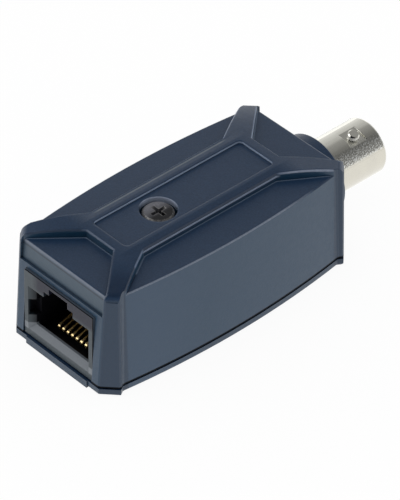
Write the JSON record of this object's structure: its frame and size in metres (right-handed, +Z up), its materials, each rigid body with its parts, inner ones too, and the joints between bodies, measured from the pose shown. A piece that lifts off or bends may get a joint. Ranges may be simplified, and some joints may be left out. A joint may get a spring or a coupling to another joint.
{
  "type": "ethernet over coax extender",
  "caption": "Small moulded adapter that carries Ethernet over coaxial cable, with a modular socket at one end and a bayonet coax socket at the other.",
  "frame": {"origin": "centre of the housing's flat underside, midway between its two end faces", "axes": "+Z up, away from the underside; +Y out of the coax socket; -Y out of the modular socket; +X to the right when looking into the coax end from the modular end"},
  "size_m": [0.0258, 0.0651, 0.0197],
  "materials": {
    "shell_plastic": "fine moulded texture, navy blue",
    "screw_black": "blackened, slightly glossy",
    "jack_plastic": "smooth moulded, dark grey",
    "carrier_plastic": "smooth moulded, black",
    "contact_gold": "gold plated",
    "board_green": "solder mask on glass fibre board",
    "connector_nickel": "satin nickel plate",
    "insulator_white": "smooth, white",
    "package_black": "moulded, black",
    "can_metal": "drawn metal can",
    "ceramic_white": "glazed ceramic",
    "ferrite_grey": "pressed ferrite"
  },
  "bodies": {
    "root": {"top_housing": "shell_plastic", "bottom_cover": "shell_plastic", "cover_screw": "screw_black", "jack_housing": "jack_plastic", "jack_contact_carrier": "carrier_plastic", "jack_contact_1": "contact_gold", "jack_contact_2": "contact_gold", "jack_contact_3": "contact_gold", "jack_contact_4": "contact_gold", "jack_contact_5": "contact_gold", "jack_contact_6": "contact_gold", "jack_contact_7": "contact_gold", "jack_contact_8": "contact_gold", "circuit_board": "board_green", "bnc_body": "connector_nickel", "bnc_insulator": "insulator_white", "bnc_centre_contact": "contact_gold", "lan_transformer": "package_black", "modem_chip": "package_black", "coax_transformer": "package_black", "crystal": "can_metal", "surge_arrester": "ceramic_white", "power_inductor": "ferrite_grey", "filter_capacitor_1": "can_metal", "filter_capacitor_2": "can_metal"}
  },
  "joints": []
}
